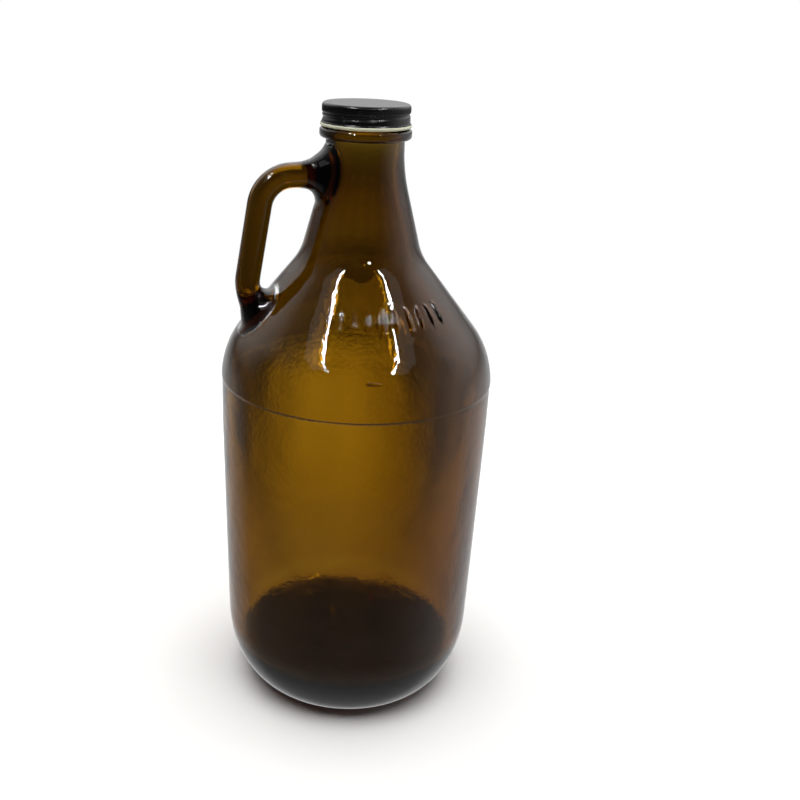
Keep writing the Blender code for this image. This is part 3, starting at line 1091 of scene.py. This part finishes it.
# %% [markdown]
# ## The tinplate cap
#
# The cap starts as a flat disc of tinned steel, lacquered black on one side and cream on the
# other. A press draws it into a cup, a roller presses the grip ribs and the thread into its
# side, and the rim is curled over so that no cut edge shows. The curl is the cream side turned
# out. It is one sheet, so one section line goes down the outside, round the curl and up the
# inside, and the ribs and the thread are pushed into the turned mesh.

# %% Cap section, ribs and rolled thread, millimetres
CAP_SIDES, RIB_COUNT = 480, 120
CAP_TOP, CAP_RADIUS, CAP_SHEET = cap_high.z / MM, 18.3, 0.5
RIB_DEPTH, RIB_TOP, RIB_BOTTOM = 0.3, 268.9, 266.5
CURL_CENTRE, CURL_RADIUS = (18.2, 261.36), 0.75
CAP_THREAD_START, CAP_THREAD_TURNS = math.radians(60), 0.95
CAP_THREAD_LOW = THREAD_LOW - THREAD_PITCH / 2 + THREAD_PITCH * (
    1 + (CAP_THREAD_START - THREAD_START) / math.tau
)
GROOVE_OUTSIDE, GROOVE_INSIDE, GROOVE_WIDTH, GROOVE_FADE = 0.42, 0.95, 0.95, 0.05
# The wall below the ribs: how far in from the cap's radius, height and rounding
WAIST = ((0, 266.4, 0.3), (0.35, 266.1, 0.3), (0.2, 265.3, 0.5), (0.1, 262.6, 0.5), (-0.3, 262.1, 0))
TOP_ROUND, INSIDE_ROUND, CAP_FOOT = 1.5, 1.0, 262.0
CAP_ARC, INSIDE_ARC, CURL_STEPS = math.radians(12), math.radians(15), 14
CURL_START, CURL_END = math.radians(70), math.radians(-200)
OUTSIDE_RING, INSIDE_RING = 0.45, 0.6
RIB_FADE, RIB_BAND, WALL_BAND, WALL_TOP = 0.35, 0.8, 0.3, 0.6


def cap_line():
    """Down the outside of the cap, round its curled rim and up the inside."""
    top = [(0, CAP_TOP, 0), (CAP_RADIUS, CAP_TOP, TOP_ROUND)]
    waist = [(CAP_RADIUS - inwards, height, radius) for inwards, height, radius in WAIST]
    down = rounded(top + waist, CAP_ARC)
    curl = arc(CURL_CENTRE, (CURL_RADIUS, CURL_RADIUS), CURL_START, CURL_END, CURL_STEPS)
    inside = CAP_RADIUS - CAP_SHEET
    ceiling = CAP_TOP - CAP_SHEET
    up = rounded([(inside, CAP_FOOT, 0), (inside, ceiling, INSIDE_ROUND), (0, ceiling, 0)], INSIDE_ARC)
    return filled_in(down, OUTSIDE_RING), np.array(curl), filled_in(up, INSIDE_RING)


def ribbed_and_rolled(radius, angle, height):
    """Grip ribs on the upper side, and the thread pushed in along its helix."""
    outer = np.arange(radius.shape[0])[:, None] < cap_outside_rings
    band = np.clip(np.minimum(RIB_TOP - height, height - RIB_BOTTOM) / RIB_FADE, 0, 1)
    ribs = 0.5 - 0.5 * np.cos(RIB_COUNT * angle)
    radius = radius - RIB_DEPTH * band * ribs * outer * (radius > CAP_RADIUS - RIB_BAND)
    along = (angle - CAP_THREAD_START) % math.tau
    share = along / (math.tau * CAP_THREAD_TURNS)
    fade = np.clip(np.minimum(share, 1 - share) / GROOVE_FADE, 0, 1)
    centre = CAP_THREAD_LOW + THREAD_PITCH * along / math.tau
    press = np.clip(1 - np.abs(height - centre) / GROOVE_WIDTH, 0, 1)
    press = press * press * (3 - 2 * press) * fade
    depth = np.where(outer, GROOVE_OUTSIDE, GROOVE_INSIDE)
    wall = (radius > CAP_RADIUS - CAP_SHEET - WALL_BAND) & (height < RIB_BOTTOM + WALL_TOP)
    return radius - depth * press * wall * (height > CAP_FOOT), height


cap_down, cap_curl, cap_up = cap_line()
cap_outside_rings = len(cap_down) + len(cap_curl) // 2
tin_cap = revolved(
    "tinplate_cap", np.concatenate([cap_down, cap_curl, cap_up]), CAP_SIDES, ribbed_and_rolled
)
tin_cap.data.shade_smooth()
print("cap faces:", len(tin_cap.data.polygons))

# %% [markdown]
# ## Lacquer on tinplate
#
# The lacquer is baked on, glossy but not a mirror, with the fine orange skin of a sprayed coat
# and paler rubbed marks where the ribs and the top's edge meet other caps in the carton. It is
# drawn as a dark plastic-like coat, which is what the eye sees of it. The cream side has a satin
# vinyl lacquer.


# %% Black and cream lacquer
SKIN, SKIN_DEPTH, SKIN_STRENGTH = 0.8 * MM, 0.02 * MM, 0.5
RUB = 3 * MM
EDGE_SHARPNESS = (0.52, 0.60)
GLOSS_SPREAD = (-0.05, 0.06)


def lacquer(name, colour, worn, roughness, wear):
    """A baked coat with a fine orange skin, rubbed on its outer edges."""
    material, tree, output = new_material(name)
    place = add_node(tree, "ShaderNodeTexCoord")
    skin = add_node(
        tree,
        "ShaderNodeTexNoise",
        {"Vector": place.outputs["Object"], "Scale": 1 / SKIN, "Detail": 2.0},
    )
    bump = add_node(
        tree,
        "ShaderNodeBump",
        {"Height": skin.outputs["Fac"], "Strength": SKIN_STRENGTH, "Distance": SKIN_DEPTH},
    )
    marks = add_node(
        tree,
        "ShaderNodeTexNoise",
        {"Vector": place.outputs["Object"], "Scale": 1 / RUB, "Detail": 6.0},
    )
    shape = add_node(tree, "ShaderNodeNewGeometry")
    edges = add_node(
        tree,
        "ShaderNodeMapRange",
        {
            "Value": shape.outputs["Pointiness"],
            "From Min": EDGE_SHARPNESS[0],
            "From Max": EDGE_SHARPNESS[1],
        },
    )
    rubbed = add_node(
        tree,
        "ShaderNodeMath",
        {0: edges.outputs["Result"], 1: marks.outputs["Fac"]},
        operation="MULTIPLY",
    )
    amount = add_node(
        tree, "ShaderNodeMath", {0: rubbed.outputs[0], 1: wear}, operation="MULTIPLY"
    )
    paint = add_node(
        tree,
        "ShaderNodeMix",
        {"Factor": amount.outputs[0], 6: linear(colour), 7: linear(worn)},
        data_type="RGBA",
    )
    gloss = add_node(
        tree,
        "ShaderNodeMapRange",
        {
            "Value": marks.outputs["Fac"],
            "From Min": 0.3,
            "From Max": 0.7,
            "To Min": roughness + GLOSS_SPREAD[0],
            "To Max": roughness + GLOSS_SPREAD[1],
        },
    )
    coat = add_node(
        tree,
        "ShaderNodeBsdfPrincipled",
        {
            "Base Color": paint.outputs[2],
            "Roughness": gloss.outputs["Result"],
            "IOR": 1.5,
            "Normal": bump.outputs["Normal"],
        },
    )
    tree.links.new(coat.outputs["BSDF"], output.inputs["Surface"])
    return material


tin_cap.data.materials.append(lacquer("black_baked_lacquer", "0b0b0c", "5a5a5c", 0.24, 0.5))
tin_cap.data.materials.append(lacquer("cream_baked_lacquer", "dcdcc0", "f0f0e0", 0.35, 0.3))
face_rings = np.arange(len(tin_cap.data.polygons)) // CAP_SIDES
top_fan = face_rings == len(cap_down) + len(cap_curl) + len(cap_up) - 3
cream = (face_rings >= len(cap_down)) & ~top_fan
tin_cap.data.polygons.foreach_set("material_index", cream.astype(np.int32))
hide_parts("cap_shell")
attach(tin_cap, "cap")
print("cap faces showing cream:", int(cream.sum()))

# %% [markdown]
# ## The liner
#
# Inside the cap lies a disc of pulpboard, with a thin white film on the side that seals on the
# glass. Both keep the shape of the part. Pulpboard is pressed wood fibre: matt, straw grey and
# full of short fibres a tenth of a millimetre thick. The film is smooth polyester with a satin
# shine.


# %% Pulpboard and seal film
FIBRE, FIBRE_DEPTH, FIBRE_STRETCH = 0.6 * MM, 0.08 * MM, (1, 4, 1)
CRINKLE, CRINKLE_DEPTH = 5 * MM, 0.1 * MM


def pulpboard():
    """Matt straw-grey board, full of short fibres."""
    material, tree, output = new_material("pressed_pulpboard")
    place = add_node(tree, "ShaderNodeTexCoord")
    stretch = add_node(
        tree, "ShaderNodeMapping", {"Vector": place.outputs["Object"], "Scale": FIBRE_STRETCH}
    )
    fibres = add_node(
        tree,
        "ShaderNodeTexNoise",
        {"Vector": stretch.outputs["Vector"], "Scale": 1 / FIBRE, "Detail": 5.0},
    )
    shade = add_node(tree, "ShaderNodeValToRGB", {"Fac": fibres.outputs["Fac"]})
    shade.color_ramp.elements[0].position = 0.3
    shade.color_ramp.elements[0].color = linear("a99c84")
    shade.color_ramp.elements[1].position = 0.7
    shade.color_ramp.elements[1].color = linear("d2c7b0")
    bump = add_node(
        tree,
        "ShaderNodeBump",
        {"Height": fibres.outputs["Fac"], "Strength": 0.6, "Distance": FIBRE_DEPTH},
    )
    board = add_node(
        tree,
        "ShaderNodeBsdfPrincipled",
        {"Base Color": shade.outputs["Color"], "Roughness": 0.9, "Normal": bump.outputs["Normal"]},
    )
    tree.links.new(board.outputs["BSDF"], output.inputs["Surface"])
    return material


def seal_film():
    """Smooth white polyester with a satin shine and a slight crinkle."""
    material, tree, output = new_material("white_polyester_film")
    place = add_node(tree, "ShaderNodeTexCoord")
    crinkle = add_node(
        tree,
        "ShaderNodeTexNoise",
        {"Vector": place.outputs["Object"], "Scale": 1 / CRINKLE, "Detail": 3.0},
    )
    bump = add_node(
        tree,
        "ShaderNodeBump",
        {"Height": crinkle.outputs["Fac"], "Strength": 0.3, "Distance": CRINKLE_DEPTH},
    )
    film = add_node(
        tree,
        "ShaderNodeBsdfPrincipled",
        {
            "Base Color": linear("ebebe6"),
            "Roughness": 0.32,
            "IOR": 1.57,
            "Normal": bump.outputs["Normal"],
        },
    )
    tree.links.new(film.outputs["BSDF"], output.inputs["Surface"])
    return material


for name, material in (("liner_backing", pulpboard()), ("liner_facing", seal_film())):
    disc = frame["nodes"][name]
    disc.data.materials.clear()
    disc.data.materials.append(material)
    print(name, "has", material.name)

# %% Measure and finish
sizes = {"cad": frame_bounds, "visual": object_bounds()}
sizes = {name: [list(corner) for corner in corners] for name, corners in sizes.items()}
print(sizes)
